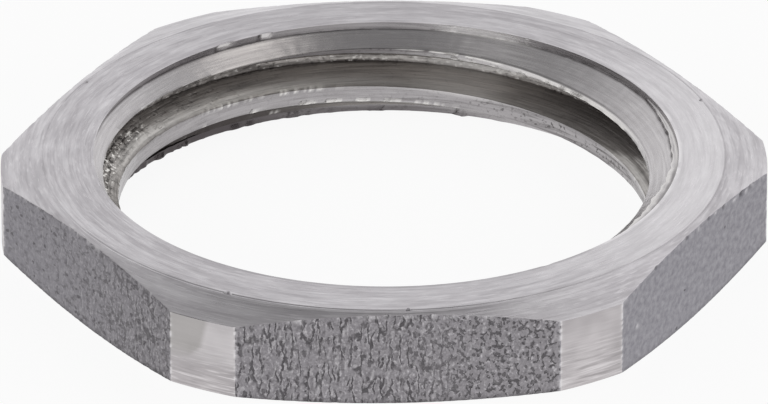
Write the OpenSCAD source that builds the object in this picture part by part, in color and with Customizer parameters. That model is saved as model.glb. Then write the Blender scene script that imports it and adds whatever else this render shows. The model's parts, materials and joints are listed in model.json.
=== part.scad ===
// Thin hexagonal lock nut, cut from hexagon bar and turned on both faces and
// over its corners, with a countersunk hole and a fine right-hand thread.
// It lies on its lower bearing face, with the thread's axis along Z.

/* [Hexagon] */
// Width across the flats
across_flats = 19; // [18.7:0.1:20.5]
// Diameter that the six corners are turned down to
corner_d = 20.9; // [20.6:0.1:21.5]
// Height between the two bearing faces
thickness = 2.75; // [2.25:0.05:8]

/* [Bearing faces] */
// Diameter of the flat ring of each bearing face
face_d = 18.6; // [17:0.1:18.6]
// Slope of the chamfer around each bearing face
chamfer_angle = 16; // [10:1:30]

/* [Thread] */
// Nominal diameter of the thread, at the bottom of its groove
thread_d = 16; // [15.7:0.05:16.4]
// Rise of the thread in one turn
pitch = 1.5; // [1.4:0.05:2]
// Diameter of the hole that is drilled before the thread is cut
bore_d = 14.5; // [14.4:0.05:14.8]
// Angle between the two flanks of the groove
flank_angle = 60; // [50:1:60]
// Height of the groove above the lower face, where it crosses the X axis
thread_start = 1.3; // [0:0.05:1.5]

/* [Countersinks] */
// How far the rim of each countersink stands outside the thread's groove
rim_gap = 0.03; // [0.02:0.01:0.3]
// Height of the straight wall below each rim
rim_h = 0.2; // [0.1:0.05:0.4]
// Angle of the countersink's cone, from side to side
countersink_angle = 120; // [100:5:140]

/* [Hidden] */

// A cut runs this far past the face that it opens
overrun = 1;
// The groove's section reaches this far inside the drilled hole
groove_overlap = 0.1;
// Steps in one turn of the thread, and in a full circle
steps_per_turn = 60;
circle_steps = 120;

corner_r = corner_d / 2;
face_r = face_d / 2;
chamfer_h = (corner_r - face_r) * tan(chamfer_angle);
hexagon_r = across_flats / 2 / cos(30);

thread_r = thread_d / 2;
bore_r = bore_d / 2;
rim_r = thread_r + rim_gap;
countersink_h = rim_h + (rim_r - bore_r) / tan(countersink_angle / 2);

// The groove's section: its flat bottom, and its mouth a little inside the hole
groove_bottom_w = pitch / 8;
groove_mouth_r = bore_r - groove_overlap;
groove_mouth_w = groove_bottom_w + 2 * (thread_r - groove_mouth_r) * tan(flank_angle / 2);
groove_section = [
    [groove_mouth_r, -groove_mouth_w / 2],
    [thread_r, -groove_bottom_w / 2],
    [thread_r, groove_bottom_w / 2],
    [groove_mouth_r, groove_mouth_w / 2],
];

// The groove starts a full turn below the nut and ends a full turn above it
first_turn = -thread_start / pitch - 1;
groove_turns = thickness / pitch + 2;
groove_steps = ceil(groove_turns * steps_per_turn);

// The groove's section, set at a given turn of the thread
function groove_ring(turn) = [
    for (p = groove_section)
        [p[0] * cos(360 * turn), p[0] * sin(360 * turn), p[1] + thread_start + pitch * turn]
];

// Two triangles for each side of the groove between one ring and the next
function groove_sides(step, corners) = [
    for (k = [0 : corners - 1])
        let (a = step * corners + k, b = step * corners + (k + 1) % corners)
            each [[a, b, b + corners], [a, b + corners, a + corners]]
];

// The solid that the thread cutter sweeps out
module thread_groove() {
    corners = len(groove_section);
    last_ring = groove_steps * corners;
    points = [
        for (step = [0 : groove_steps])
            each groove_ring(first_turn + groove_turns * step / groove_steps)
    ];
    start_cap = [for (k = [corners - 1 : -1 : 0]) k];
    end_cap = [for (k = [0 : corners - 1]) last_ring + k];
    sides = [for (step = [0 : groove_steps - 1]) each groove_sides(step, corners)];
    polyhedron(points, concat([start_cap], sides, [end_cap]), convexity = 10);
}

// The hexagon bar, as long as the nut is thick
module hexagon_bar() {
    cylinder(r = hexagon_r, h = thickness, $fn = 6);
}

// The round form that the lathe leaves: corners, chamfers and bearing faces
module turned_outside() {
    rotate_extrude($fn = circle_steps)
        polygon([
            [0, 0],
            [face_r, 0],
            [corner_r, chamfer_h],
            [corner_r, thickness - chamfer_h],
            [face_r, thickness],
            [0, thickness],
        ]);
}

// The drilled hole with a countersink at each end
module countersunk_hole() {
    rotate_extrude($fn = circle_steps)
        polygon([
            [0, -overrun],
            [rim_r, -overrun],
            [rim_r, rim_h],
            [bore_r, countersink_h],
            [bore_r, thickness - countersink_h],
            [rim_r, thickness - rim_h],
            [rim_r, thickness + overrun],
            [0, thickness + overrun],
        ]);
}

module lock_nut() {
    color("silver")
        difference() {
            intersection() {
                hexagon_bar();
                turned_outside();
            }
            countersunk_hole();
            thread_groove();
        }
}

lock_nut();
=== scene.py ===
"""A thin steel lock nut: turned faces and corners, rough drawn flats and a cut thread, on a pale floor."""
import json
import math

import bmesh
import bpy
import numpy as np
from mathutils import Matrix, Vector


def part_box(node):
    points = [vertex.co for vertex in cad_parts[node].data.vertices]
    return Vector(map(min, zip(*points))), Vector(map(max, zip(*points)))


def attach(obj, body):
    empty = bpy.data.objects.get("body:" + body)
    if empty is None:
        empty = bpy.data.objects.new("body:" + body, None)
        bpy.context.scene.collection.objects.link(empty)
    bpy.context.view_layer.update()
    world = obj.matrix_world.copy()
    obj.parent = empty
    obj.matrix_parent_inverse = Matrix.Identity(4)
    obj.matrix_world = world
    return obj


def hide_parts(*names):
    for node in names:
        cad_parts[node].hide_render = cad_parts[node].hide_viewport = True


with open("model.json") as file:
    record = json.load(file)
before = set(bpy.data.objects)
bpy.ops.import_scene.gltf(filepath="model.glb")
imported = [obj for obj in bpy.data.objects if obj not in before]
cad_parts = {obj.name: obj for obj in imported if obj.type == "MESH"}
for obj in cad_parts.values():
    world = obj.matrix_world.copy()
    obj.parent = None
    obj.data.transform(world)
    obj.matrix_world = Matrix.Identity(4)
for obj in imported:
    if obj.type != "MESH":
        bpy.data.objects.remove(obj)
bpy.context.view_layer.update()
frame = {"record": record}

# Sizes that the frame gives, in millimetres
MM = 0.001
low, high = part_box("lock_nut")
thread_mount = next(m for m in frame["record"]["mounts"] if m["name"] == "thread")
THICKNESS = (high.z - low.z) / MM
FLAT_R = (high.y - low.y) / MM / 2
CORNER_R = (high.x - low.x) / MM / 2
BORE_R = thread_mount["dims"]["r_mm"]
SINK_H = (THICKNESS - thread_mount["dims"]["length_mm"]) / 2

# Other sizes of the nut, in millimetres
FACE_R = 9.3
CHAMFER_RISE = math.tan(math.radians(16))
THREAD_R = 8.0
PITCH = 1.5
THREAD_START = 1.3
FLANK_RUN = math.tan(math.radians(30))
RIM_R = 8.03
RIM_H = 0.2
FACE_LINE_W = 0.04
FACE_LINE_DEPTH = 0.014
RIM_EDGE = 0.02
# The upper rim's edge: how much it is smaller, how far it is off centre, and towards which angle in degrees
RIM_SMALLER, RIM_OFF, RIM_OFF_TURN = 0.05, 0.085, 45.0
SINK_SLOPE = (RIM_R - BORE_R) / (SINK_H - RIM_H)
CREST_WEAR = 0.20
# How much less deep the lower countersink is at the right
SINK_LESS = 0.2
# How far before angle 0 the groove's main turn is counted from, in degrees
TURN_BACK = 40.0
LEDGE_Z = THICKNESS - 0.11
LEDGE_LIP = 0.02

# How finely the skin is divided; the flat and corner counts are even, so that the hole can take every second column
FLAT_STEPS = 168
CORNER_STEPS = 30
SIDE_ROWS = 42
GRAIN_CELL = 0.05
# How far apart the flats are laid out in the pattern of their cracks, in millimetres
FLAT_SPACING = 20.0

# Finishes, in the order of the mesh's material slots
TURNED_FACE, TURNED_CORNER, DRAWN_FLAT, COUNTERSINK, THREAD_GROOVE = range(5)

# Wear and painted shade of each flat, going round from the front one: how coarse it is at its first corner and at
# its last, how far it is cracked upright at each of them, how much painted shade lies over it, and how closely its
# pattern runs along it
FLAT_WEAR = [
    (0.9, 1.0, 1.0, 0.15, 0.04, 1.0),
    (0.0, 0.04, 0.0, 0.10, 0.0, 0.6),
    (0.3, 0.6, 0.1, 0.5, 0.0, 0.8),
    (0.9, 0.8, 0.8, 0.9, 0.0, 1.0),
    (0.5, 0.3, 0.4, 0.1, 0.05, 0.8),
    (0.25, 0.9, 0.1, 0.6, 0.20, 0.55),
]
# Chips on the flats: flat, share along it, height, half width, half height and depth in millimetres,
# and how bright the broken place is, from 0, dark, to 1
FLAT_CHIPS = [
    (1, 0.105, 1.31, 0.08, 0.05, 0.04, 1.0),
    (1, 0.823, 2.49, 0.12, 0.05, 0.09, 0.0),
    (1, 0.775, 2.50, 0.13, 0.035, 0.03, 1.0),
    (1, 0.856, 2.44, 0.08, 0.05, 0.03, 0.9),
    (1, 0.880, 2.47, 0.08, 0.04, 0.04, 0.1),
    (1, 0.697, 2.588, 0.08, 0.04, 0.06, 0.0),
    (1, 0.641, 2.61, 0.07, 0.03, 0.02, 0.9),
    (1, 0.592, 2.65, 0.07, 0.03, 0.04, 0.0),
    (1, 0.523, 2.60, 0.06, 0.06, 0.02, 0.8),
    (1, 0.440, 2.66, 0.09, 0.03, 0.03, 0.0),
    (1, 0.230, 2.58, 0.09, 0.04, 0.04, 0.0),
    (0, 0.42, 2.66, 0.20, 0.025, 0.02, 1.0),
    (0, 0.47, 2.65, 0.10, 0.03, 0.04, 0.0),
    (0, 0.53, 2.66, 0.16, 0.025, 0.02, 1.0),
    (0, 0.66, 2.62, 0.14, 0.025, 0.02, 0.9),
    (5, 0.42, 2.66, 0.14, 0.04, 0.04, 0.3),
    (3, 0.30, 2.64, 0.12, 0.05, 0.04, 0.7),
    (4, 0.70, 1.10, 0.06, 0.08, 0.04, 0.2),
    (2, 0.55, 0.60, 0.08, 0.05, 0.04, 0.9),
]

# Small dents, each with its angle in degrees, half width in degrees and depth in millimetres:
# on the rim of the hole, on the outer line of the face, and burrs that hang into the lower mouth
RIM_NICKS = [(121.2, 1.9, 0.05), (112.0, 1.3, 0.06), (74.0, 0.5, 0.015), (58.0, 0.4, 0.015), (301.0, 0.9, 0.02)]
FACE_NICKS = [(241.0, 0.5, 0.05), (271.8, 0.35, 0.06), (18.0, 0.4, 0.04), (150.0, 0.5, 0.04)]
MOUTH_BURRS = [(161.0, 1.2, 0.08), (153.5, 1.6, 0.10), (146.0, 0.9, 0.06), (138.5, 1.3, 0.06), (131.0, 0.8, 0.07),
               (115.5, 1.0, 0.07), (103.0, 0.7, 0.05), (88.8, 1.2, 0.06), (72.5, 1.4, 0.08), (20.0, 1.5, 0.06),
               (205.0, 1.3, 0.07), (262.0, 1.1, 0.06), (318.0, 1.4, 0.07)]
# Stretches of the nut, each with its middle and half width in degrees. In the hole: where the thread is torn, dark
# and scored, where the upper crest is worn back, where the crests carry bright lips and burrs, partly torn metal and
# partly painted highlight, and where painted shadow lies in the groove at the right. On the rim: where the painted
# shade on its wall is lighter, with a painted highlight, and where it is darker, and where the lower mouth is left
# without its painted shade and where painted shade lies under the lower crest, and where painted light lies on the
# groove's lower flank. On the bearing face: painted light, painted shade, and painted shade along the rim.
TORN = (168.0, 23.0)
SCORED = (150.0, 34.0)
WORN = (104.0, 50.0)
SHALLOW_SINK = (30.0, 38.0)
LIPPED = (47.0, 34.0)
SINK_LINE = (72.0, 11.0)
FRAYED = (115.0, 15.0)
BURRED = (102.0, 25.0)
SHADOWED_GROOVE = (26.0, 32.0)
LIGHT_GROOVE = (71.0, 9.0)
LIGHT_RUN = (-4.0, 27.0)
BRIGHT_WALL = (68.0, 9.0)
DARK_WALL = (38.0, 15.0)
LIGHT_MOUTH = (28.0, 42.0)
DARK_MOUTH = (137.0, 46.0)
LIGHT_FLANK = (128.0, 42.0)
LIT_FACE = (-8.0, 46.0)
SHADED_FACE = (92.0, 42.0)
FRONT_EDGE = (268.0, 62.0)
# The ledge that the thread leaves where it runs out through the rim: angles in degrees, and how far it stands in
LEDGE_TURN = [-52.0, -38.0, -24.0, -14.0, -7.0, 2.0, 10.0, 16.0, 24.0]
LEDGE_REACH = [0.0, 0.16, 0.32, 0.28, 0.20, 0.16, 0.13, 0.09, 0.0]
# Rings that the tool left on the upper chamfer, each with its distance from the bearing face, and how dark or bright
CHAMFER_LINES = [(0.075, 0.0, 0.30), (0.125, 0.40, 0.0)]
# Where those rings show, and where the chamfer is smooth, each with its middle and half width in degrees
LINED = (262.0, 26.0)
SMOOTH_CHAMFER = (272.0, 55.0)
LIGHT_CHAMFER = [(240.0, 9.0), (294.0, 9.0)]
# The dull patch on the left front corner: heights, and the angle in degrees that the patch reaches at each
DULL_PATCH_UP = [1.05, 1.25, 1.60, 2.40]
DULL_PATCH_TURN = [234.0, 238.2, 240.2, 241.3]


# Rough surfaces

def smooth_noise(rng, rows, columns, row_length, column_length):
    """A field of mean 0 and spread 1 that varies over the given lengths, counted in cells."""
    white = np.fft.fft2(rng.standard_normal((rows, columns)))
    row_wave = np.fft.fftfreq(rows)[:, None] * row_length
    column_wave = np.fft.fftfreq(columns)[None, :] * column_length
    field = np.fft.ifft2(white * np.exp(-2 * (math.pi ** 2) * (row_wave ** 2 + column_wave ** 2))).real
    return (field - field.mean()) / field.std()


def degrees_from(angle, at):
    """How far an angle in radians is from another one in degrees, the short way round, in degrees."""
    return (np.degrees(angle) - at + 180) % 360 - 180


def stretch(angle, middle_and_half):
    """1 inside a stretch of the hole, fading to 0 outside it."""
    middle, half = middle_and_half
    return np.exp(-(degrees_from(angle, middle) / half) ** 4)


def marks_along(angle, marks):
    """Depth at each angle of a list of small dents."""
    depth = np.zeros_like(angle, dtype=float)
    for at, half_width, deepest in marks:
        depth = np.maximum(depth, deepest * np.exp(-(degrees_from(angle, at) / half_width) ** 4))
    return depth


def flat_half_width():
    return math.sqrt(CORNER_R ** 2 - FLAT_R ** 2)


def crack_share(index):
    """How far a flat is cracked upright, step by step along it."""
    first, last = FLAT_WEAR[index][2:4]
    return first + (last - first) * np.clip((np.linspace(0, 1, FLAT_STEPS) - 0.45) / 0.3, 0, 1)


def flat_relief(index):
    """Depth of the cracks over one flat, by height and place along it, and how dark and how bright each point is,
    painted shade and highlights included.
    """
    rng = np.random.default_rng(410 + index)
    rows = int(math.ceil(THICKNESS / GRAIN_CELL)) + 2
    upright = smooth_noise(rng, rows, FLAT_STEPS, 4.0, 1.3)
    sideways = smooth_noise(rng, rows, FLAT_STEPS, 1.5, 1.3)
    breaks = smooth_noise(rng, rows, FLAT_STEPS, 3.0, 2.2)
    pits = smooth_noise(rng, rows, FLAT_STEPS, 1.1, 0.8)
    grain = smooth_noise(rng, rows, FLAT_STEPS, 1.2, 0.7)
    ragged = smooth_noise(rng, 2, FLAT_STEPS, 0.1, 1.2)[0]
    start, end, _, _, flat_shade, _ = FLAT_WEAR[index]
    strength = np.linspace(start, end, FLAT_STEPS)[None, :]
    cracked = crack_share(index)[None, :]

    crack = np.exp(-(upright / 0.26) ** 2) * np.clip(0.8 * breaks + 0.3, 0, 1) * cracked
    crossing = np.exp(-(sideways / 0.24) ** 2) * np.clip(-0.8 * breaks, 0, 1) * (1 - cracked) * strength
    pit = np.clip(-1.5 - pits, 0, 1) * strength
    # The cracks and pits are darkened as painted shade in their hollows, and the lip beside each gets a painted
    # highlight
    dark = np.clip(crack + crossing + pit, 0, 1)
    lip = np.clip(np.roll(dark, 1, axis=1) - 1.2 * dark, 0, 1) * np.clip(0.6 + 0.5 * np.roll(grain, 2, axis=0), 0, 1)

    height = np.arange(rows)[:, None] * GRAIN_CELL
    along = np.arange(FLAT_STEPS)[None, :] / FLAT_STEPS
    side = flat_half_width() * (2 * along - 1)
    top = THICKNESS - chamfer_height(np.hypot(FLAT_R, side))
    near_top = np.exp(-((top - height) / 0.06) ** 2) * (0.45 + 0.55 * strength)
    chipped = np.clip(ragged - 0.2, 0, 1)[None, :] * near_top
    bright = np.clip(0.6 * lip + 0.7 * np.clip(ragged - 0.5, 0, 1)[None, :] * near_top, 0, 1)
    depth = 0.035 * dark + 0.006 * grain * (0.3 + 0.7 * strength) + 0.03 * chipped
    # Painted shadow along the flat's lower edge, where it meets the floor
    near_bottom = np.exp(-((THICKNESS - top - height) / 0.07) ** 2) * (0.7 + 0.3 * strength)
    # Painted shade over the whole flat, stronger along its top edge
    dark = flat_shade + 0.2 * dark + 0.55 * near_bottom + 2 * flat_shade * near_top
    for flat, share, up, half_wide, half_high, deepest, shine in FLAT_CHIPS:
        if flat == index:
            across = (along - share) * 2 * flat_half_width() / half_wide
            chip = np.exp(-(across ** 2 + ((height - up) / half_high) ** 2))
            depth = depth + deepest * chip
            bright = np.maximum(bright, shine * chip)
            dark = np.maximum(dark, (1 - shine) * chip)
    return depth, dark, bright


# The skin of the nut

class Skin:
    """Points, faces and finishes of the skin; how dark it is, painted shade included, how bright, painted highlights
    included, how coarse and cracked it is, and how far along a flat.
    """

    def __init__(self):
        self.points = []
        self.wear = {"pitted": [], "bright": [], "coarse": [], "cracked": [], "along": []}
        self.faces = []
        self.finish = []
        self.count = 0

    def ring(self, x, y, z, pitted=0.0, bright=0.0, coarse=0.0, cracked=0.0, along=0.0):
        """Adds points and gives back their numbers."""
        size = len(x)
        self.points.append(np.column_stack([x, y, np.broadcast_to(z, (size,))]))
        for name, value in zip(self.wear, (pitted, bright, coarse, cracked, along)):
            self.wear[name].append(np.broadcast_to(np.asarray(value, float), (size,)))
        self.count += size
        return np.arange(self.count - size, self.count)

    def bridge(self, lower, upper, finish):
        """Quads between two closed rings of the same size; finish is one number or one for each quad."""
        quads = np.column_stack([lower, np.roll(lower, -1), np.roll(upper, -1), upper])
        self.faces.extend(quads.tolist())
        self.finish.extend(np.broadcast_to(finish, (len(quads),)).tolist())

    def bridge_to_half(self, outer, inner, finish):
        """Triangles between a closed ring and one with half as many points."""
        first, middle, last = outer[0::2], outer[1::2], np.roll(outer, -1)[1::2]
        after = np.roll(inner, -1)
        for corner in ((first, middle, inner), (middle, after, inner), (middle, last, after)):
            self.faces.extend(np.column_stack(corner).tolist())
        self.finish.extend([finish] * (3 * len(inner)))

    def mesh(self, name):
        """The whole skin as a mesh in metres, closed and facing outwards."""
        made = bpy.data.meshes.new(name)
        made.from_pydata((np.vstack(self.points) * MM).tolist(), [], self.faces)
        made.polygons.foreach_set("material_index", np.array(self.finish, np.int32))
        for label, parts in self.wear.items():
            values = made.attributes.new(label, "FLOAT", "POINT")
            values.data.foreach_set("value", np.concatenate(parts).astype(np.float32))
        work = bmesh.new()
        work.from_mesh(made)
        bmesh.ops.recalc_face_normals(work, faces=work.faces)
        work.to_mesh(made)
        work.free()
        return made


class Outline:
    """The nut's outline seen from above, as columns that run round it."""

    def __init__(self):
        half = flat_half_width()
        edge = math.atan2(half, FLAT_R)
        corner_turn = math.pi / 3 - 2 * edge
        x, y, face_x, face_y, flat, place = [], [], [], [], [], []
        for index in range(6):
            facing = math.radians(60 * index - 90)
            nx, ny = math.cos(facing), math.sin(facing)
            for step in range(FLAT_STEPS):
                along = half * (2 * step / FLAT_STEPS - 1)
                x.append(FLAT_R * nx - along * ny)
                y.append(FLAT_R * ny + along * nx)
                face_x.append(nx)
                face_y.append(ny)
                flat.append(index)
                place.append(step)
            for step in range(CORNER_STEPS):
                turn = facing + edge + corner_turn * step / CORNER_STEPS
                x.append(CORNER_R * math.cos(turn))
                y.append(CORNER_R * math.sin(turn))
                face_x.append(math.cos(turn))
                face_y.append(math.sin(turn))
                flat.append(-1)
                place.append(step)
        self.x, self.y = np.array(x), np.array(y)
        self.face_x, self.face_y = np.array(face_x), np.array(face_y)
        self.flat, self.place = np.array(flat), np.array(place)
        self.angle = np.arctan2(self.y, self.x)
        self.radius = np.hypot(self.x, self.y)
        self.relief = [flat_relief(index) for index in range(6)]
        self.edge_gap = np.where(
            self.flat >= 0,
            np.minimum(self.place, FLAT_STEPS - self.place) * 2 * half / FLAT_STEPS,
            np.minimum(self.place, CORNER_STEPS - self.place) * CORNER_R * corner_turn / CORNER_STEPS,
        )
        step_length = 2 * half / FLAT_STEPS
        pattern_step = step_length * np.array([wear[-1] for wear in FLAT_WEAR])[self.flat]
        self.along = np.where(self.flat >= 0, FLAT_SPACING * self.flat + pattern_step * self.place, 0.0)
        flat_end = (self.flat < 0) & (self.place == 0)
        self.along[flat_end] = np.roll(self.along + pattern_step, 1)[flat_end]
        self.coarse, self.cracked = np.zeros_like(self.x), np.zeros_like(self.x)
        for index, (start, end, *_) in enumerate(FLAT_WEAR):
            self.coarse[self.flat == index] = np.linspace(start, end, FLAT_STEPS)
            self.cracked[self.flat == index] = crack_share(index)

    def surface(self, z):
        """How far each column is set back by pits and cracks at heights z, and how dark and how bright it is there."""
        found = np.zeros((3, len(self.x)))
        row = np.clip(z / GRAIN_CELL, 0, None)
        under = np.floor(row).astype(int)
        share = row - under
        for index, fields in enumerate(self.relief):
            here = np.nonzero(self.flat == index)[0]
            place, below, part = self.place[here], under[here], share[here]
            for out, field in zip(found, fields):
                out[here] = field[below, place] * (1 - part) + field[below + 1, place] * part
        fade = 0.35 + 0.65 * np.clip(self.edge_gap / 0.12, 0, 1)
        depth, dark, bright = found * fade
        return np.clip(depth, -0.003, None), dark, bright

    def at(self, depth):
        """Places of the columns, set back by depth."""
        return self.x - depth * self.face_x, self.y - depth * self.face_y


def chamfer_height(radius):
    """How far below the bearing face the chamfer lies at a radius."""
    return (radius - FACE_R) * CHAMFER_RISE


def add_side(skin, outline):
    """The six flats and the turned corners, from the lower chamfer to the upper one. Gives back both end rings."""
    rng = np.random.default_rng(31)
    edge_highlight = np.clip(0.3 + 0.6 * smooth_noise(rng, SIDE_ROWS + 1, len(outline.x), 0.6, 2.0), 0, 1)
    fall = chamfer_height(outline.radius)
    finish = np.where(outline.flat >= 0, DRAWN_FLAT, TURNED_CORNER)
    at_edge = np.exp(-(outline.edge_gap / 0.045) ** 2)
    turn = np.degrees(outline.angle) % 360
    front_left = (outline.flat < 0) & (np.abs(turn - 240) < 10)
    rings = []
    for row in range(SIDE_ROWS + 1):
        z = fall + (THICKNESS - 2 * fall) * row / SIDE_ROWS
        depth, dark, bright = outline.surface(z)
        x, y = outline.at(depth)
        if row in (0, SIDE_ROWS):
            drop = chamfer_height(np.hypot(x, y))
            z = drop if row == 0 else THICKNESS - drop
        # Painted highlight along the side edges of each flat and corner, broken up by noise
        bright = np.maximum(bright, at_edge * edge_highlight[row])
        patch = np.clip((np.interp(z, DULL_PATCH_UP, DULL_PATCH_TURN) - turn) / 0.8, 0, 1)
        patch = patch * np.clip((z - 1.0) / 0.5, 0, 1)
        dark = np.maximum(dark, patch * front_left)
        bright = np.maximum(bright, 0.25 * (1 - patch) * front_left * np.clip((z - 1.0) / 0.3, 0, 1))
        rings.append(skin.ring(x, y, z, dark, bright, outline.coarse, outline.cracked, outline.along))
    for lower, upper in zip(rings, rings[1:]):
        skin.bridge(lower, upper, finish)
    return rings[0], rings[-1]


def add_chamfer_and_face(skin, outline, side_end, upper):
    """A chamfer and its bearing face, in to the hole's rim. Gives back the ring at the rim's edge."""
    cos, sin = np.cos(outline.angle), np.sin(outline.angle)

    def circle(radius, fall, **wear):
        z = THICKNESS - fall if upper else fall
        return skin.ring(radius * cos, radius * sin, z, **wear)

    nick = marks_along(outline.angle, FACE_NICKS) if upper else 0 * outline.angle
    start, line_start = outline.radius - 0.04, FACE_R + FACE_LINE_W
    line_depth = FACE_LINE_DEPTH + nick
    tone = face_tone(outline.angle)
    lined = stretch(outline.angle, LINED)
    light = 0.15 * sum(stretch(outline.angle, part) for part in LIGHT_CHAMFER)
    chamfer = {"pitted": 0.11 * lined, "bright": light, "coarse": 0.7 * stretch(outline.angle, SMOOTH_CHAMFER)}
    chamfer_rings = [
        circle(FACE_R + out, chamfer_height(FACE_R + out), pitted=(0.11 + dark) * lined,
               bright=np.maximum(bright * lined, light), coarse=chamfer["coarse"])
        for out, dark, bright in reversed(CHAMFER_LINES) if upper
    ]
    rings = [
        side_end,
        circle(start, chamfer_height(start), **chamfer),
        *chamfer_rings,
        circle(line_start, chamfer_height(line_start), **chamfer),
        # Painted shade in the face line's groove and in the nicks on it
        circle(FACE_R - nick, line_depth, pitted=0.25 + 12 * nick),
        circle(FACE_R - FACE_LINE_W - 1.5 * nick, 0.0, **tone),
    ]
    for outer, inner in zip(rings, rings[1:]):
        skin.bridge(outer, inner, TURNED_FACE)
    return add_rim(skin, outline.angle[::2], rings[-1], upper)


def face_tone(angle):
    """Painted light and painted shade on the bearing face, by angle."""
    return {"bright": 0.5 * stretch(angle, LIT_FACE), "pitted": 0.15 * stretch(angle, SHADED_FACE)}


def ledge_reach(angle):
    """How far the ledge of the thread's run-out stands in from the rim, by angle."""
    waver = 1 + 0.07 * np.sin(31 * angle) + 0.06 * np.sin(67 * angle + 1.0) + 0.05 * np.sin(113 * angle)
    return np.interp(degrees_from(angle, 0), LEDGE_TURN, LEDGE_REACH) * waver


def rim_shift(angle):
    """How far the upper rim's edge stands out from its nominal circle."""
    return RIM_OFF * np.cos(angle - math.radians(RIM_OFF_TURN)) - RIM_SMALLER


def add_rim(skin, angle, face_ring, upper):
    """The innermost part of a bearing face, with painted highlights along the ledge and painted shade beside it and
    along the front edge. Gives back the ring at the rim's edge.
    """
    rng = np.random.default_rng(52 if upper else 53)
    cos, sin = np.cos(angle), np.sin(angle)
    nick = marks_along(angle, RIM_NICKS) * (1.0 if upper else 0.0)
    # Painted highlight lines along the ledge, broken up by noise
    ledge_highlight = np.clip(0.85 + 0.5 * smooth_noise(rng, 2, len(angle), 0.1, 1.5)[0], 0, 1)
    ledge_highlight = ledge_highlight * np.clip(ledge_reach(angle) / 0.1, 0, 1) * (1.0 if upper else 0.3)
    tone = face_tone(angle)

    edge = rim_shift(angle) if upper else RIM_EDGE
    # Painted shade along the rim's front edge and beside the ledge
    shade = 0.35 * stretch(angle, FRONT_EDGE) * (1.0 if upper else 0.0)
    beside = 0.25 * np.clip(ledge_reach(angle) / 0.1, 0, 1) * (1.0 if upper else 0.0)

    def circle(out, fall, **wear):
        radius = RIM_R + edge + out
        return skin.ring(radius * cos, radius * sin, THICKNESS - fall if upper else fall, **wear)

    rings = [
        circle(0.32, 0 * nick, **tone),
        circle(0.12, 0 * nick, bright=tone["bright"] * (1 - beside), pitted=tone["pitted"] + beside),
        circle(0.07, 0 * nick, bright=np.maximum(0.7 * ledge_highlight, tone["bright"]), pitted=tone["pitted"] + 0.8 * shade),
        circle(nick, 0.2 * nick, bright=ledge_highlight, pitted=shade),
    ]
    skin.bridge_to_half(face_ring, rings[0], TURNED_FACE)
    for outer, inner in zip(rings, rings[1:]):
        skin.bridge(outer, inner, TURNED_FACE)
    return rings[-1]


# The hole: two countersinks and the thread between them

def worn_crest(angle):
    """Radius of the upper crest, worn back over part of the way round."""
    return BORE_R + CREST_WEAR * stretch(angle, WORN)


def main_turn(angle):
    """Height of the turn of the groove that lies between the upper crest and the lower one."""
    return THREAD_START + PITCH * ((np.degrees(angle) + TURN_BACK) % 360 - TURN_BACK) / 360


def low_sink(angle):
    """Height at which the lower countersink ends."""
    return SINK_H - SINK_LESS * stretch(angle, SHALLOW_SINK)


def sink_radius(z, angle):
    """Radius at height z of the drilled hole and its two countersinks."""
    deep = np.minimum(z, THICKNESS - z)
    low_slope = (RIM_R - BORE_R) / (low_sink(angle) - RIM_H)
    cone = RIM_R - np.where(z < THICKNESS / 2, low_slope, SINK_SLOPE) * (deep - RIM_H)
    crest = np.where(z > main_turn(angle), worn_crest(angle), BORE_R)
    return np.where(deep < RIM_H, RIM_R, np.maximum(cone, crest))


def groove_place(z, angle):
    """Distance along the axis from the middle of the nearest turn of the groove."""
    place = z - THREAD_START - PITCH * angle / math.tau
    return (place + PITCH / 2) % PITCH - PITCH / 2


def groove_radius(z, angle):
    """Radius of the thread's groove, before the drilled hole and the countersinks cut it off."""
    return THREAD_R - np.maximum(np.abs(groove_place(z, angle)) - PITCH / 16, 0) / FLANK_RUN


CREST_EDGE = PITCH / 16 + (THREAD_R - BORE_R) * FLANK_RUN
FLANK_PLACES = np.linspace(PITCH / 16, CREST_EDGE, 8)
CREST_PLACES = np.linspace(CREST_EDGE, PITCH - CREST_EDGE, 5)[1:-1]
TURN_PLACES = np.concatenate([-FLANK_PLACES[::-1], [0.0], FLANK_PLACES, CREST_PLACES])


def ledge_foot(angle):
    """Height at which the ledge stands on the upper countersink; with no ledge, the foot of the rim's wall."""
    return THICKNESS - RIM_H - ledge_reach(angle) / SINK_SLOPE


def hole_heights(angle):
    """Heights of the points down the hole's wall at one angle: ends, countersink edges and the thread's own lines."""
    bottom, top = RIM_EDGE, THICKNESS - RIM_EDGE
    foot = ledge_foot(angle)
    sink_end = THICKNESS - RIM_H - (RIM_R - worn_crest(angle)) / SINK_SLOPE
    fixed = [bottom, RIM_H, top, LEDGE_Z, LEDGE_Z - LEDGE_LIP, foot, foot - 0.03,
             sink_end + 0.05, sink_end + 0.02, sink_end]
    fixed += list(RIM_H + (low_sink(angle) - RIM_H) * np.array([0.33, 0.66, 1.0]))
    fixed += list(foot + (sink_end - foot) * np.array([0.4, 0.7]))
    if ledge_reach(angle) > 0.01:
        fixed += list(LEDGE_Z - LEDGE_LIP * np.array([0.35, 0.65, 2.0]))
    sweep = np.linspace(bottom, top, 500)
    gap = groove_radius(sweep, angle) - sink_radius(sweep, angle)
    for i in np.nonzero(gap[:-1] * gap[1:] < 0)[0]:
        fixed.append(sweep[i] + (sweep[i + 1] - sweep[i]) * gap[i] / (gap[i] - gap[i + 1]))
    base = THREAD_START + PITCH * angle / math.tau
    turns = np.arange(-3, 4) * PITCH
    lines = (base + turns[:, None] + TURN_PLACES[None, :]).ravel()
    lines = lines[(lines > bottom) & (lines < top)]
    near = np.abs(lines[:, None] - np.array(fixed)[None, :]).min(1)
    return np.sort(np.concatenate([fixed, lines[near > 0.012]]))


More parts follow.
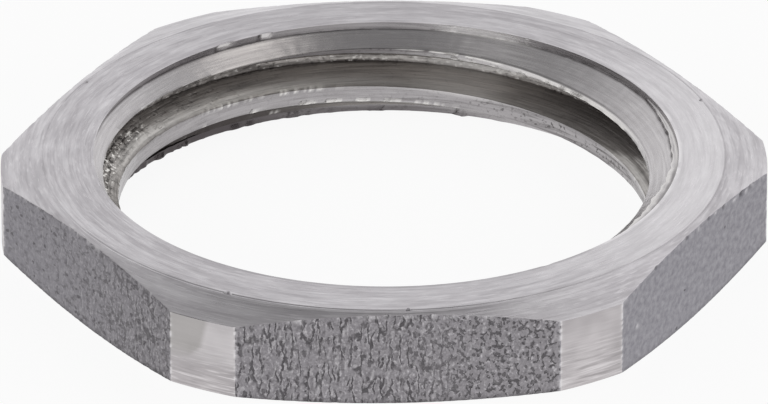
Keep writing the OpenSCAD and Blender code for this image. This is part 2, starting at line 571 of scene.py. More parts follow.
class HoleWear:
    """Torn crests, scratches and burrs of the hole's wall."""

    def __init__(self, columns):
        rng = np.random.default_rng(77)
        self.rows = 64
        self.fine = smooth_noise(rng, self.rows, columns, 1.2, 1.0)
        self.torn = smooth_noise(rng, self.rows, columns, 1.0, 0.7)
        self.upper_lip = np.clip(0.6 + 0.5 * smooth_noise(rng, 4, columns, 0.1, 1.5)[0], 0, 2)
        self.sink_lip = np.clip(0.5 + 0.6 * smooth_noise(rng, 4, columns, 0.1, 1.2)[0], 0, 2)
        self.lower_lip = np.clip(0.2 + 0.9 * smooth_noise(rng, 4, columns, 0.1, 0.3)[0], 0, 2)
        self.mouth_lip = np.clip(2.2 * smooth_noise(rng, 4, columns, 0.1, 0.8)[0], 0, 2)
        self.ragged = np.clip(smooth_noise(rng, 4, columns, 0.1, 1.0)[0], -0.5, 2)

    def look_up(self, field, column, z):
        row = np.clip(z / THICKNESS * (self.rows - 1), 0, self.rows - 1.001)
        under = row.astype(int)
        share = row - under
        return field[under, column] * (1 - share) + field[under + 1, column] * share


def rim_wall_tone(angle, z, nick):
    """How dark and how bright the upper rim's straight wall, its nicks, its ledge and its foot are, as painted shade
    and painted highlights.
    """
    tick = float(marks_along(angle, [(at + half, 0.5, 0.9) for at, half, deep in RIM_NICKS if deep > 0.04]))
    bright_wall, dark_wall = float(stretch(angle, BRIGHT_WALL)), float(stretch(angle, DARK_WALL))
    ledge = min(float(ledge_reach(angle)) / 0.1, 1.0)
    foot = ledge_foot(angle)
    notched = min(nick / 0.04, 1.0)
    wall = (0.5 + 0.25 * dark_wall - 0.5 * bright_wall) * (1 - ledge) * (1 - notched)
    line = np.abs(z - foot) < 0.005
    dark = np.where(z > foot + 0.005, wall, np.where(line, 0.75 - 0.75 * bright_wall - 0.15 * ledge, 0.0))
    dark = np.maximum(dark, tick * (z > foot - 0.005))
    bright = np.where(z > foot + 0.005, 0.3 * notched * (1 - tick) + 0.3 * bright_wall, 0.6 * bright_wall * line)
    ledge_dark, ledge_bright = ledge_tone(angle, z)
    return np.maximum(dark, ledge * ledge_dark), np.maximum(bright, ledge * ledge_bright)


def ledge_tone(angle, z):
    """How dark and how bright the ledge is: painted shade along its foot and riser, streaks on it, and a painted
    highlight on its edge.
    """
    share = (LEDGE_Z - z) / LEDGE_LIP
    outer, middle, inner = np.abs(share - 0.35) < 0.1, np.abs(share - 0.65) < 0.1, np.abs(share - 1) < 0.1
    riser = (share > 1.2) & (z > ledge_foot(angle) - 0.005)
    to_front = float(np.clip(-degrees_from(angle, 0) / 10, 0, 1))
    streak = float(np.clip(0.5 + 1.2 * np.sin(53 * angle) * np.sin(23 * angle + 0.7), 0, 1))
    dark = 0.4 * (share < -0.2) + 0.5 * (np.abs(share) < 0.1) + 0.55 * riser
    dark = dark + 0.6 * to_front * outer + 0.35 * streak * (1 - to_front) * middle
    bright = 0.55 * (1 - to_front) * outer + 0.4 * to_front * streak * middle + 0.6 * inner
    return dark, bright


def hole_wall(column, angle, z, wear, burr, nick):
    """Radius of the hole's wall at heights z of one column, and how dark, bright and coarse it is."""
    groove, bare = groove_radius(z, angle), sink_radius(z, angle)
    clean = np.maximum(groove, bare)
    above = groove_place(z, angle) > 0
    turn = float(main_turn(angle))
    upper, main = z > turn, np.abs(z - turn) < PITCH / 2
    ledge = float(ledge_reach(angle)) * np.clip((LEDGE_Z - z) / LEDGE_LIP, 0, 1)
    clean = np.where(z > THICKNESS / 2, np.minimum(clean, RIM_R - ledge), clean)
    deep = np.minimum(z, THICKNESS - z)
    in_groove = (groove > bare - 0.003) & (deep > RIM_H * (z > THICKNESS / 2))
    sink_end = THICKNESS - RIM_H - (RIM_R - float(worn_crest(angle))) / SINK_SLOPE
    crest_start = float(low_sink(angle))
    crest = ~in_groove & (z < sink_end + 0.01) & (z > crest_start - 0.01)
    lipped, burred = float(stretch(angle, LIPPED)), float(stretch(angle, BURRED))
    tearing, groove_shadow = float(stretch(angle, TORN)), float(stretch(angle, SHADOWED_GROOVE))
    scored, frayed = float(stretch(angle, SCORED)), float(stretch(angle, FRAYED))
    worn = float(stretch(angle, WORN))
    torn = wear.look_up(wear.torn, column, z)
    fine = wear.look_up(wear.fine, column, z)

    edge_width = np.where(above & ~upper, 0.12, 0.07)
    at_edge = np.exp(-((groove - bare) / edge_width) ** 2) * (deep > RIM_H + 0.05)
    upper_lip = wear.upper_lip[column] * (0.14 + 0.86 * lipped)
    crest_foot = THREAD_START - PITCH + PITCH * (angle % math.tau) / math.tau + CREST_EDGE
    mouth_lip = wear.mouth_lip[column] * burred * np.exp(-((z - max(crest_foot, crest_start)) / 0.09) ** 2)
    lower_lip = wear.lower_lip[column] * frayed
    lip = at_edge * np.where(above, np.where(upper, upper_lip, mouth_lip), lower_lip)
    at_sink = np.exp(-((z - sink_end) / 0.012) ** 2) * ~in_groove
    lip = np.maximum(lip, at_sink * wear.sink_lip[column] * (0.02 + 1.2 * float(stretch(angle, SINK_LINE))))
    flank = in_groove & ~above & (deep > RIM_H)

    down_flank = (-groove_place(z, angle) - PITCH / 16) / (CREST_EDGE - PITCH / 16)
    tearing = tearing * np.exp(-((down_flank - 0.45) / 0.3) ** 4) * flank
    rough = np.where(flank, 0.003 + 0.006 * scored + 0.024 * tearing, 0.002)
    radius = clean - 0.02 * lip + rough * torn + 0.0015 * fine
    radius = radius - burr * np.exp(-((z - RIM_EDGE) / 0.10) ** 2)
    whole = np.clip((LEDGE_Z - LEDGE_LIP - 0.03 - z) / 0.03, 0, 1)
    radius = clean + (radius - clean) * whole
    radius = radius + float(rim_shift(angle)) * np.clip((z - THICKNESS + RIM_H) / RIM_H, 0, 1)

    wall_dark, wall_bright = rim_wall_tone(angle, z, nick)
    light_mouth = float(stretch(angle, LIGHT_MOUTH))
    # Painted shadow of the floor on the lower ring of the hole, left off where the mouth is light, and painted shade
    # under the lower crest
    under_crest = np.clip((crest_foot - 0.04 - z) / 0.04, 0, 1) * (z < 0.9)
    low_ring_shade = 0.85 * np.clip((0.34 - z) / 0.2, 0, 1) * (1 - light_mouth)
    low_ring_shade = np.maximum(low_ring_shade, float(stretch(angle, DARK_MOUTH)) * under_crest)
    over_lip = np.abs(z - sink_end - 0.02) < 0.003
    root = in_groove & main & (np.abs(groove_place(z, angle)) < PITCH / 16 + 0.01)
    root_foot = in_groove & main & (np.abs(groove_place(z, angle) + PITCH / 16) < 0.012)
    # Painted shade on the groove's upper flank under the crest and painted shadow at its right end, with stains where
    # it is scored and torn
    stain_and_shade = 0.2 * above + 0.58 * groove_shadow + 0.3 * scored * above + 0.12 * scored * root + 0.3 * tearing
    # Painted light running in streaks down the groove's lower flank at the right
    light_run = np.clip((down_flank - 1 + 1.1 * float(stretch(angle, LIGHT_RUN))) / 0.2, 0, 1) * (flank & main)
    streaks = np.sin(16.0 * down_flank + 0.3 * torn)
    stain_and_shade = np.where(in_groove, stain_and_shade * (1 - light_run * (0.6 + 0.4 * streaks)), 0.0)
    worn_band = (crest & upper & (z < sink_end + 0.005)) * (1 - 0.6 * lipped)
    worn_edge = worn * (above & upper & (np.abs(groove - bare) < 0.004))
    # The lower crest and the worn crest's band and edge are darker; a line of painted shade runs along the root's foot
    crest_tone = np.where(crest & ~upper, 0.33, 0.0) + 0.85 * worn * worn_band + 0.8 * worn * root_foot
    crest_tone = crest_tone + 0.85 * worn_edge * (1 - 0.3 * lipped)
    dark = np.maximum.reduce([low_ring_shade, wall_dark, stain_and_shade, crest_tone, 0.55 * lipped * over_lip])
    # The lips and burrs are bright partly as torn metal and partly as a painted highlight along the crest edges; the
    # upper crest carries a painted highlight where it is lipped
    bright = 1.2 * lip * (1 - 0.9 * worn_edge) + np.where(crest & upper, 0.6 * lipped * (1 - worn), 0)
    # Painted light on the groove's root where the worn crest is lipped
    bright = bright + (0.03 + 0.35 * lipped * worn) * root * ~root_foot
    bright = bright + 0.25 * float(stretch(angle, LIGHT_GROOVE)) * (in_groove & main & (deep > RIM_H))
    bright = bright + light_run * (0.36 + 0.3 * streaks)
    # Painted light on the groove's lower flank at the back, with a line of painted shade at its foot
    light_flank = float(stretch(angle, LIGHT_FLANK))
    flank_foot = flank & main & (down_flank > 0.97)
    bright = bright + 0.6 * light_flank * flank * ~flank_foot * np.clip((down_flank - 0.4) / 0.4, 0, 1)
    dark = np.maximum(dark, 0.5 * light_flank * flank_foot)
    bright = np.clip(bright + wall_bright, 0, 1)
    groove_grain = 0.1 + 0.9 * np.maximum(tearing, np.maximum(0.45 * root, 0.35 * scored * flank))
    low_grain = np.clip(0.12 + 0.5 * burred * (z < crest_start + 0.15) + 0.85 * light_mouth, 0, 1)
    crest_grain = np.where(upper, 0.15 + 0.6 * worn, low_grain)
    coarse = np.where(in_groove, groove_grain, np.where(crest, crest_grain, 0.5 * low_ring_shade))
    return radius, dark, bright, coarse


def add_hole(skin, outline, lower_rim, upper_rim):
    """The hole's wall between the two rims, zipped together column by column along the thread's lines."""
    angles = outline.angle[::2]
    wear = HoleWear(len(angles))
    nick = marks_along(angles, RIM_NICKS)
    burr = marks_along(angles, MOUTH_BURRS) + 0.03 * wear.ragged * (1 - 0.8 * stretch(angles, LIGHT_MOUTH))
    chains, heights = [], []
    for column, angle in enumerate(angles):
        z = hole_heights(angle)
        radius, dark, bright, coarse = hole_wall(column, angle, z, wear, burr[column], nick[column])
        radius[-1] += 0.7 * nick[column]
        drawn = z.copy()
        drawn[-1] -= 0.5 * nick[column]
        chains.append(skin.ring(radius * math.cos(angle), radius * math.sin(angle), drawn, dark, bright, coarse))
        heights.append(z)
    for column, angle in enumerate(angles):
        after = (column + 1) % len(angles)
        zip_columns(skin, angle, chains[column], heights[column], chains[after], heights[after])
    bottom = np.array([chain[0] for chain in chains])
    top = np.array([chain[-1] for chain in chains])
    skin.bridge(top, upper_rim, COUNTERSINK)
    skin.bridge(lower_rim, bottom, COUNTERSINK)


def zip_columns(skin, angle, left, left_z, right, right_z):
    """Triangles between two columns of points with different counts, taken in order of height."""
    i = j = 0
    while i + 1 < len(left) or j + 1 < len(right):
        take_left = j + 1 == len(right) or (i + 1 < len(left) and left_z[i + 1] <= right_z[j + 1])
        if take_left:
            skin.faces.append([int(left[i]), int(right[j]), int(left[i + 1])])
            middle = (left_z[i] + left_z[i + 1] + right_z[j]) / 3
            i += 1
        else:
            skin.faces.append([int(left[i]), int(right[j]), int(right[j + 1])])
            middle = (left_z[i] + right_z[j] + right_z[j + 1]) / 3
            j += 1
        cut = groove_radius(middle, angle) > float(sink_radius(middle, angle)) + 0.01
        skin.finish.append(THREAD_GROOVE if cut else COUNTERSINK)


def make_lock_nut(materials):
    """The whole nut as one closed mesh."""
    skin, outline = Skin(), Outline()
    lower_side, upper_side = add_side(skin, outline)
    upper_rim = add_chamfer_and_face(skin, outline, upper_side, upper=True)
    lower_rim = add_chamfer_and_face(skin, outline, lower_side, upper=False)
    add_hole(skin, outline, lower_rim, upper_rim)
    mesh = skin.mesh("nut_skin")
    for material in materials:
        mesh.materials.append(material)
    mesh.shade_smooth()
    mesh.set_sharp_from_angle(angle=math.radians(13))
    piece = bpy.data.objects.new("nut_skin", mesh)
    bpy.context.scene.collection.objects.link(piece)
    return piece


# Shader parts

def place(tree, kind, inputs=None, **settings):
    """A shader node; each input is a plain value or another node's output."""
    made = tree.nodes.new("ShaderNode" + kind)
    for name, value in settings.items():
        setattr(made, name, value)
    for name, value in (inputs or {}).items():
        if isinstance(value, bpy.types.NodeSocket):
            tree.links.new(value, made.inputs[name])
        else:
            made.inputs[name].default_value = value
    return made


def maths(tree, operation, first, second=0.0):
    return place(tree, "Math", {0: first, 1: second}, operation=operation).outputs[0]


def between(tree, value, low_in, high_in, low_out=0.0, high_out=1.0):
    inputs = {"Value": value, "From Min": low_in, "From Max": high_in, "To Min": low_out, "To Max": high_out}
    return place(tree, "MapRange", inputs).outputs["Result"]


def tint(tree, share, first, second):
    """A colour between two, by share; each is a colour or another node's output."""
    def full(colour):
        return (*colour, 1.0) if isinstance(colour, tuple) else colour
    return place(tree, "Mix", {0: share, 6: full(first), 7: full(second)}, data_type="RGBA").outputs[2]


def new_group(name, inputs, outputs):
    """An empty shader group with named sockets, and its input and output nodes."""
    tree = bpy.data.node_groups.new(name, "ShaderNodeTree")
    for label, value in inputs.items():
        tree.interface.new_socket(label, in_out="INPUT", socket_type="NodeSocketFloat").default_value = value
    for label in outputs:
        tree.interface.new_socket(label, in_out="OUTPUT", socket_type="NodeSocketFloat")
    return tree, tree.nodes.new("NodeGroupInput"), tree.nodes.new("NodeGroupOutput")


def millimetres(tree):
    """Place on the nut, in millimetres."""
    coords = place(tree, "TexCoord").outputs["Object"]
    return place(tree, "VectorMath", {0: coords, "Scale": 1 / MM}, operation="SCALE").outputs[0]


def lathe_marks_group():
    """Marks that a turning tool leaves round the axis: fine and broad streaks, blotches, and short bright strokes."""
    tree, given, result = new_group(
        "lathe_marks", {"Across": 16.0, "Along": 6.0}, ["Fine", "Broad", "Mottle", "Strokes"])
    parts = place(tree, "SeparateXYZ", {0: millimetres(tree)}).outputs
    spoke = place(tree, "CombineXYZ", {0: parts[0], 1: parts[1]}).outputs[0]
    radius = place(tree, "VectorMath", {0: spoke}, operation="LENGTH").outputs["Value"]
    across = maths(tree, "ADD", radius, parts[2])
    round_axis = place(tree, "VectorMath", {0: spoke}, operation="NORMALIZE").outputs[0]

    def streaks(finer_across, finer_along, detail):
        along = maths(tree, "MULTIPLY", given.outputs["Along"], finer_along)
        turn = place(tree, "VectorMath", {0: round_axis, "Scale": along}, operation="SCALE").outputs[0]
        lift = maths(tree, "MULTIPLY", across, maths(tree, "MULTIPLY", given.outputs["Across"], finer_across))
        rise = place(tree, "CombineXYZ", {2: lift}).outputs[0]
        where = place(tree, "VectorMath", {0: turn, 1: rise}, operation="ADD").outputs[0]
        inputs = {"Vector": where, "Scale": 1.0, "Detail": detail, "Roughness": 0.6}
        return place(tree, "TexNoise", inputs).outputs[0]

    tree.links.new(streaks(1.0, 1.0, 3.0), result.inputs["Fine"])
    tree.links.new(streaks(0.28, 0.28, 2.0), result.inputs["Broad"])
    tree.links.new(streaks(0.2, 1.0, 3.0), result.inputs["Mottle"])
    tree.links.new(between(tree, streaks(1.1, 2.6, 1.0), 0.57, 0.72), result.inputs["Strokes"])
    return tree


def speckle_group():
    """Grain of rough steel: stretched upright grain, dark and light specks, and slow clouds of tone."""
    tree, given, result = new_group("speckle", {"Per mm": 9.0, "Stretch": 0.35}, ["Grain", "Dark", "Light", "Cloud"])
    parts = place(tree, "SeparateXYZ", {0: millimetres(tree)}).outputs
    upright = maths(tree, "MULTIPLY", parts[2], given.outputs["Stretch"])
    where = place(tree, "CombineXYZ", {0: parts[0], 1: parts[1], 2: upright}).outputs[0]
    fine = {"Vector": where, "Scale": given.outputs["Per mm"], "Detail": 4.0, "Roughness": 0.65}
    grain = place(tree, "TexNoise", fine).outputs[0]
    denser = maths(tree, "MULTIPLY", given.outputs["Per mm"], 1.2)
    specks = place(tree, "TexNoise", {"Vector": where, "Scale": denser, "Detail": 1.5, "W": 3.0},
                   noise_dimensions="4D").outputs[0]
    cloud = place(tree, "TexNoise", {"Vector": where, "Scale": 0.7, "Detail": 2.0}).outputs[0]
    tree.links.new(grain, result.inputs["Grain"])
    tree.links.new(between(tree, specks, 0.43, 0.32), result.inputs["Dark"])
    tree.links.new(between(tree, specks, 0.57, 0.68), result.inputs["Light"])
    tree.links.new(cloud, result.inputs["Cloud"])
    return tree


def wander(tree, spot, per_mm, reach):
    """The place on the nut, pushed about by a slow noise."""
    push = place(tree, "TexNoise", {"Vector": spot, "Scale": per_mm, "Detail": 1.5}).outputs["Color"]
    push = place(tree, "VectorMath", {0: push, 1: (0.5, 0.5, 0.5)}, operation="SUBTRACT").outputs[0]
    push = place(tree, "VectorMath", {0: push, "Scale": reach}, operation="SCALE").outputs[0]
    return place(tree, "VectorMath", {0: spot, 1: push}, operation="ADD").outputs[0]


def flat_place(tree):
    """Place on a flat, in millimetres: along it and up it."""
    along = place(tree, "Attribute", attribute_name="along").outputs["Fac"]
    up = place(tree, "SeparateXYZ", {0: millimetres(tree)}).outputs[2]
    return place(tree, "CombineXYZ", {0: along, 1: up}).outputs[0]


def cell_pattern(tree, where, per_mm, feature):
    """Irregular cells laid out flat."""
    inputs = {"Vector": where, "Scale": per_mm}
    return place(tree, "TexVoronoi", inputs, voronoi_dimensions="2D", feature=feature).outputs


def drawn_out(tree, where, share):
    """A place on a flat, drawn out upright: the smaller the share, the longer."""
    parts = place(tree, "SeparateXYZ", {0: where}).outputs
    return place(tree, "CombineXYZ", {0: parts[0], 1: maths(tree, "MULTIPLY", parts[1], share)}).outputs[0]


def drawing_cracks(tree, coarse, cracked):
    """Long upright cracks and short crossing ones of drawn bar, and the lips beside the upright ones, which get a
    painted highlight.
    """
    spot = flat_place(tree)
    where = drawn_out(tree, wander(tree, spot, 3.2, 0.21), 0.2)
    gap = cell_pattern(tree, where, 4.5, "DISTANCE_TO_EDGE")["Distance"]
    frayed = place(tree, "TexNoise", {"Vector": spot, "Scale": 10.0, "Detail": 2.0}).outputs[0]
    gap = maths(tree, "ADD", gap, between(tree, frayed, 0.35, 0.65, -0.06, 0.045))
    patches = place(tree, "TexNoise", {"Vector": spot, "Scale": 2.6, "Detail": 1.5}).outputs[0]
    broken = maths(tree, "MULTIPLY", between(tree, patches, 0.41, 0.51), between(tree, cracked, 0.1, 0.7))
    crack = maths(tree, "MULTIPLY", between(tree, gap, 0.085, 0.03), broken)
    from_lip = maths(tree, "ABSOLUTE", maths(tree, "SUBTRACT", gap, 0.15))
    lip = maths(tree, "MULTIPLY", between(tree, from_lip, 0.06, 0.01), broken)

    where = drawn_out(tree, wander(tree, spot, 7.0, 0.25), 0.6)
    short_gap = cell_pattern(tree, where, 4.6, "DISTANCE_TO_EDGE")["Distance"]
    short_gap = maths(tree, "ADD", short_gap, between(tree, frayed, 0.35, 0.65, -0.07, 0.09))
    bits = place(tree, "TexNoise", {"Vector": spot, "Scale": 5.5, "Detail": 1.0, "W": 2.0},
                 noise_dimensions="4D").outputs[0]
    share = maths(tree, "MULTIPLY", between(tree, cracked, 0.2, 1.0, 1.0, 0.3), coarse)
    short = maths(tree, "MULTIPLY", between(tree, bits, 0.48, 0.53), share)
    short = maths(tree, "MULTIPLY", between(tree, short_gap, 0.15, 0.06), short)
    return maths(tree, "MAXIMUM", crack, short), lip


def drawing_pits(tree, coarse, cracked):
    """Small pits of drawn bar, of many sizes, drawn out upright where it is cracked."""
    where = drawn_out(tree, wander(tree, flat_place(tree), 8.0, 0.16), between(tree, cracked, 0.0, 1.0, 0.85, 0.4))
    cells = cell_pattern(tree, where, 6.4, "F1")
    chance = place(tree, "SeparateXYZ", {0: cells["Color"]}).outputs
    shown = maths(tree, "LESS_THAN", chance[1], between(tree, coarse, 0.0, 1.0, 0.0, 0.45))
    reach = between(tree, chance[0], 0.0, 1.0, 0.12, 0.34)
    return maths(tree, "MULTIPLY", between(tree, maths(tree, "SUBTRACT", cells["Distance"], reach), 0.02, -0.07), shown)


def use_group(tree, group, **values):
    made = tree.nodes.new("ShaderNodeGroup")
    made.node_tree = group
    for label, value in values.items():
        made.inputs[label.replace("_", " ")].default_value = value
    return made.outputs


def new_steel(name):
    """A material with a metal shader, and its tree and shader node."""
    material = bpy.data.materials.new(name)
    material.use_nodes = True
    tree = material.node_tree
    shader = tree.nodes["Principled BSDF"]
    shader.inputs["Metallic"].default_value = 1.0
    return material, tree, shader


def mark(tree, name, share=1.0):
    """The wear that the mesh carries under that name, times a share."""
    wear = place(tree, "Attribute", attribute_name=name).outputs["Fac"]
    return maths(tree, "MULTIPLY", wear, share)


def dress(tree, shader, colour, roughness, height, depth):
    """Feeds colour, roughness and relief to the shader; depth is the relief's depth in millimetres."""
    tree.links.new(colour, shader.inputs["Base Color"])
    tree.links.new(roughness, shader.inputs["Roughness"])
    bump = place(tree, "Bump", {"Height": height, "Distance": depth * MM, "Strength": 1.0})
    tree.links.new(bump.outputs[0], shader.inputs["Normal"])


def turned_face(lathe_marks):
    material, tree, shader = new_steel("turned_face")
    marks = use_group(tree, lathe_marks, Across=18.0, Along=7.0)
    colour = tint(tree, between(tree, marks["Broad"], 0.32, 0.68), (0.465, 0.444, 0.467), (0.62, 0.60, 0.623))
    scored = between(tree, mark(tree, "coarse"), 0.0, 1.0, 1.0, 0.0)
    dull = maths(tree, "MULTIPLY", between(tree, marks["Fine"], 0.5, 0.32, 0.0, 0.45), scored)
    colour = tint(tree, dull, colour, (0.38, 0.362, 0.382))
    colour = tint(tree, between(tree, marks["Mottle"], 0.5, 0.34, 0.0, 0.3), colour, (0.38, 0.362, 0.382))
    colour = tint(tree, between(tree, marks["Mottle"], 0.5, 0.66, 0.0, 0.3), colour, (0.78, 0.76, 0.785))
    colour = tint(tree, maths(tree, "MULTIPLY", marks["Strokes"], 0.35), colour, (0.80, 0.78, 0.80))
    colour = tint(tree, mark(tree, "pitted", 0.8), colour, (0.16, 0.15, 0.16))
    colour = tint(tree, mark(tree, "bright"), colour, (0.84, 0.82, 0.84))
    dress(tree, shader, colour, between(tree, marks["Fine"], 0.3, 0.7, 0.38, 0.26), marks["Fine"], 0.008)
    return material


def turned_corner(lathe_marks, speckle):
    material, tree, shader = new_steel("turned_corner")
    marks = use_group(tree, lathe_marks, Across=15.0, Along=9.0)
    grain = use_group(tree, speckle, Per_mm=9.0, Stretch=1.0)
    height = place(tree, "SeparateXYZ", {0: millimetres(tree)}).outputs[2]
    scored = between(tree, height, 0.70 * THICKNESS, 0.35 * THICKNESS, 0.12, 1.0)
    colour = tint(tree, between(tree, grain["Cloud"], 0.40, 0.62), (0.45, 0.425, 0.435), (0.58, 0.55, 0.56))
    dull = maths(tree, "MULTIPLY", between(tree, marks["Fine"], 0.5, 0.32, 0.0, 0.8), scored)
    colour = tint(tree, dull, colour, (0.36, 0.338, 0.345))
    light = maths(tree, "MULTIPLY", between(tree, marks["Fine"], 0.52, 0.66, 0.0, 0.8), scored)
    colour = tint(tree, light, colour, (0.74, 0.71, 0.72))
    colour = tint(tree, mark(tree, "pitted", 0.7), colour, (0.40, 0.386, 0.376))
    colour = tint(tree, mark(tree, "bright"), colour, (0.78, 0.76, 0.77))
    dress(tree, shader, colour, between(tree, marks["Broad"], 0.3, 0.7, 0.42, 0.3), marks["Fine"], 0.006)
    return material


def drawn_flat(speckle):
    material, tree, shader = new_steel("drawn_flat")
    grain = use_group(tree, speckle, Per_mm=12.0, Stretch=0.8)
    coarse, cracked = mark(tree, "coarse"), mark(tree, "cracked")
    share = between(tree, grain["Grain"], 0.3, 0.7)
    streaked = {"Vector": drawn_out(tree, flat_place(tree), 0.75), "Scale": 8.0, "Detail": 3.0}
    smooth_share = between(tree, place(tree, "TexNoise", streaked).outputs[0], 0.32, 0.68)
    smooth = tint(tree, smooth_share, (0.27, 0.261, 0.29), (0.39, 0.38, 0.41))
    rough = tint(tree, share, (0.24, 0.227, 0.242), (0.385, 0.368, 0.387))
    colour = tint(tree, coarse, smooth, rough)
    light = maths(tree, "MULTIPLY", grain["Light"], coarse)
    colour = tint(tree, maths(tree, "MULTIPLY", light, 0.6), colour, (0.64, 0.62, 0.645))
    crack, lip = drawing_cracks(tree, coarse, cracked)
    lip = maths(tree, "MULTIPLY", lip, between(tree, grain["Grain"], 0.45, 0.6, 0.0, 0.7))
    pits = drawing_pits(tree, coarse, cracked)
    hollow = maths(tree, "MAXIMUM", crack, maths(tree, "MULTIPLY", pits, 0.8))
    # Painted highlight on the crack lips, and painted shade in the cracks and pits
    colour = tint(tree, lip, colour, (0.60, 0.58, 0.60))
    colour = tint(tree, maths(tree, "MULTIPLY", hollow, 0.8), colour, (0.08, 0.075, 0.08))
    colour = tint(tree, mark(tree, "pitted"), colour, (0.07, 0.065, 0.07))
    colour = tint(tree, mark(tree, "bright", 0.9), colour, (0.80, 0.78, 0.80))
    height = maths(tree, "SUBTRACT", maths(tree, "MULTIPLY", grain["Grain"], 0.7), hollow)
    dress(tree, shader, colour, between(tree, grain["Grain"], 0.3, 0.7, 0.6, 0.46), height, 0.02)
    return material


def countersink(lathe_marks, speckle):
    material, tree, shader = new_steel("countersink")
    marks = use_group(tree, lathe_marks, Across=12.0, Along=4.0)
    grain = use_group(tree, speckle, Per_mm=9.0, Stretch=1.0)
    colour = tint(tree, between(tree, marks["Fine"], 0.3, 0.7), (0.45, 0.43, 0.44), (0.58, 0.56, 0.57))
    colour = tint(tree, maths(tree, "MULTIPLY", marks["Strokes"], 0.25), colour, (0.75, 0.73, 0.73))
    coarse = mark(tree, "coarse")
    streak = maths(tree, "MULTIPLY", between(tree, marks["Fine"], 0.5, 0.36, 0.0, 0.9), coarse)
    colour = tint(tree, streak, colour, (0.16, 0.15, 0.15))
    dark = maths(tree, "MULTIPLY", grain["Dark"], coarse)
    colour = tint(tree, dark, colour, (0.1, 0.095, 0.095))
    colour = tint(tree, mark(tree, "pitted"), colour, (0.09, 0.08, 0.083))
    colour = tint(tree, mark(tree, "bright"), colour, (0.85, 0.83, 0.81))
    dress(tree, shader, colour, between(tree, marks["Fine"], 0.3, 0.7, 0.3, 0.2), marks["Fine"], 0.004)
    return material


def thread_groove(lathe_marks, speckle):
    material, tree, shader = new_steel("thread_groove")
    marks = use_group(tree, lathe_marks, Across=10.0, Along=5.0)
    grain = use_group(tree, speckle, Per_mm=6.5, Stretch=1.6)
    coarse = mark(tree, "coarse")
    # The groove's base tone is kept dark: partly its own brownish tone, partly painted shade in the groove
    colour = tint(tree, between(tree, marks["Fine"], 0.3, 0.7), (0.32, 0.30, 0.287), (0.50, 0.472, 0.452))
    colour = tint(tree, mark(tree, "pitted"), colour, (0.065, 0.057, 0.056))
    streak = maths(tree, "MULTIPLY", between(tree, marks["Fine"], 0.52, 0.38, 0.0, 1.4), coarse)
    colour = tint(tree, streak, colour, (0.1, 0.09, 0.086))
    dark = maths(tree, "MULTIPLY", grain["Dark"], coarse)
    colour = tint(tree, dark, colour, (0.05, 0.045, 0.045))
    light = maths(tree, "MULTIPLY", grain["Light"], between(tree, coarse, 0.42, 1.0, 0.0, 3.0))
    colour = tint(tree, light, colour, (0.92, 0.90, 0.87))
    colour = tint(tree, mark(tree, "bright"), colour, (0.85, 0.83, 0.81))
    height = maths(tree, "SUBTRACT", marks["Fine"], dark)
    dress(tree, shader, colour, between(tree, marks["Fine"], 0.3, 0.7, 0.5, 0.34), height, 0.012)
    return material


# Floor, light and camera

def make_floor():
    """A pale floor that shows white to the camera and keeps the nut's shadow."""
    size = 2.0
    mesh = bpy.data.meshes.new("floor")
    corners = [(-size, -size, 0), (size, -size, 0), (size, size, 0), (-size, size, 0)]
    mesh.from_pydata(corners, [], [(0, 1, 2, 3)])
    floor = bpy.data.objects.new("floor", mesh)
    bpy.context.scene.collection.objects.link(floor)
    material = bpy.data.materials.new("pale_floor")
    material.use_nodes = True
    tree = material.node_tree
    tree.nodes.clear()
    path = place(tree, "LightPath").outputs
    seen = maths(tree, "MAXIMUM", path["Is Camera Ray"], path["Is Glossy Ray"])
    seen = maths(tree, "MAXIMUM", seen, path["Is Transmission Ray"])
    paper = place(tree, "BsdfDiffuse", {"Color": (0.9, 0.9, 0.9, 1.0)}).outputs[0]
    glow = place(tree, "Emission", {"Color": (1.0, 1.0, 1.0, 1.0), "Strength": 1.0}).outputs[0]
    share = maths(tree, "MULTIPLY", seen, 0.92)
    mix = place(tree, "MixShader", {0: share, 1: paper, 2: glow}).outputs[0]
    place(tree, "OutputMaterial", {"Surface": mix})
    mesh.materials.append(material)
    return floor


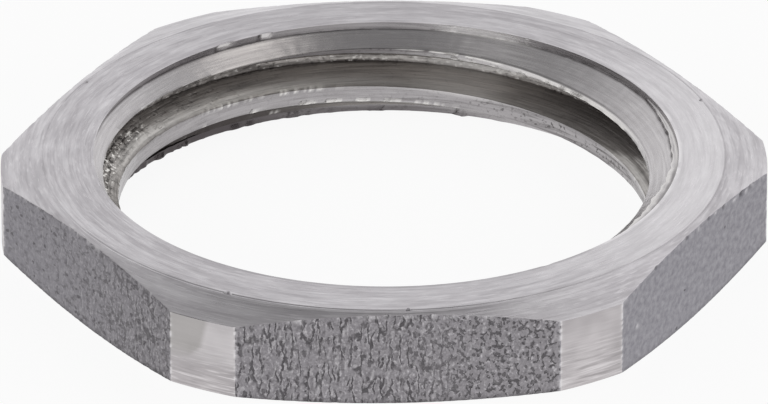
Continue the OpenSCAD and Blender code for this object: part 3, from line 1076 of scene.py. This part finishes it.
def light_world():
    """Soft light from all round, white near the horizon and darker overhead."""
    world = bpy.data.worlds.new("studio")
    bpy.context.scene.world = world
    world.use_nodes = True
    tree = world.node_tree
    tree.nodes.clear()
    way = place(tree, "SeparateXYZ", {0: place(tree, "TexCoord").outputs["Generated"]}).outputs
    ramp = place(tree, "ValToRGB", {0: way[2]})
    levels = [(0.0, 1.0), (0.45, 0.98), (0.62, 0.76), (0.77, 0.52), (0.86, 0.325), (1.0, 0.28)]
    stops = ramp.color_ramp.elements
    while len(stops) < len(levels):
        stops.new(0.5)
    for stop, (position, level) in zip(stops, levels):
        stop.position = position
        stop.color = (level, level, level, 1.0)
    soft = place(tree, "Background", {"Color": ramp.outputs[0], "Strength": 1.0}).outputs[0]
    place(tree, "OutputWorld", {"Surface": soft})


def add_softbox(name, position, size, power, colour):
    """A square soft lamp that points at the nut."""
    lamp = bpy.data.lights.new(name, "AREA")
    lamp.size = size
    lamp.energy = power
    lamp.color = colour
    made = bpy.data.objects.new(name, lamp)
    made.location = position
    made.rotation_euler = (-Vector(position)).to_track_quat("-Z", "Y").to_euler()
    bpy.context.scene.collection.objects.link(made)


def add_camera():
    """The photograph's view: a long lens, looking down at the front flat."""
    azimuth, elevation, distance = math.radians(-2.25), math.radians(27.06), 0.3782
    below_middle = 1.342 * MM
    away = Vector((math.sin(azimuth) * math.cos(elevation), -math.cos(azimuth) * math.cos(elevation),
                   math.sin(elevation)))
    turn = away.to_track_quat("Z", "Y")
    aim = Vector((0, 0, THICKNESS * MM)) - below_middle * (turn @ Vector((0, 1, 0)))
    lens = bpy.data.cameras.new("camera")
    lens.sensor_width = 36.0
    lens.lens = 650.4
    camera = bpy.data.objects.new("camera", lens)
    camera.location = aim + distance * away
    camera.rotation_euler = turn.to_euler()
    bpy.context.scene.collection.objects.link(camera)
    bpy.context.scene.camera = camera


lathe_marks = lathe_marks_group()
speckle = speckle_group()
nut = make_lock_nut([
    turned_face(lathe_marks),
    turned_corner(lathe_marks, speckle),
    drawn_flat(speckle),
    countersink(lathe_marks, speckle),
    thread_groove(lathe_marks, speckle),
])
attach(nut, "root")
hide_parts("lock_nut")

make_floor()
light_world()
add_softbox("overhead_softbox", (0.3125, 0.166, 0.74), 0.24, 0.16, (1.0, 0.97, 0.91))
add_softbox("overhead_left_softbox", (-0.24, 0.126, 0.752), 0.2, 0.036, (1.0, 1.0, 0.97))
add_softbox("back_right_softbox", (0.22, 0.5, 0.59), 0.3, 0.17, (1.0, 1.0, 1.0))
add_camera()
bpy.context.scene.view_settings.view_transform = "Standard"
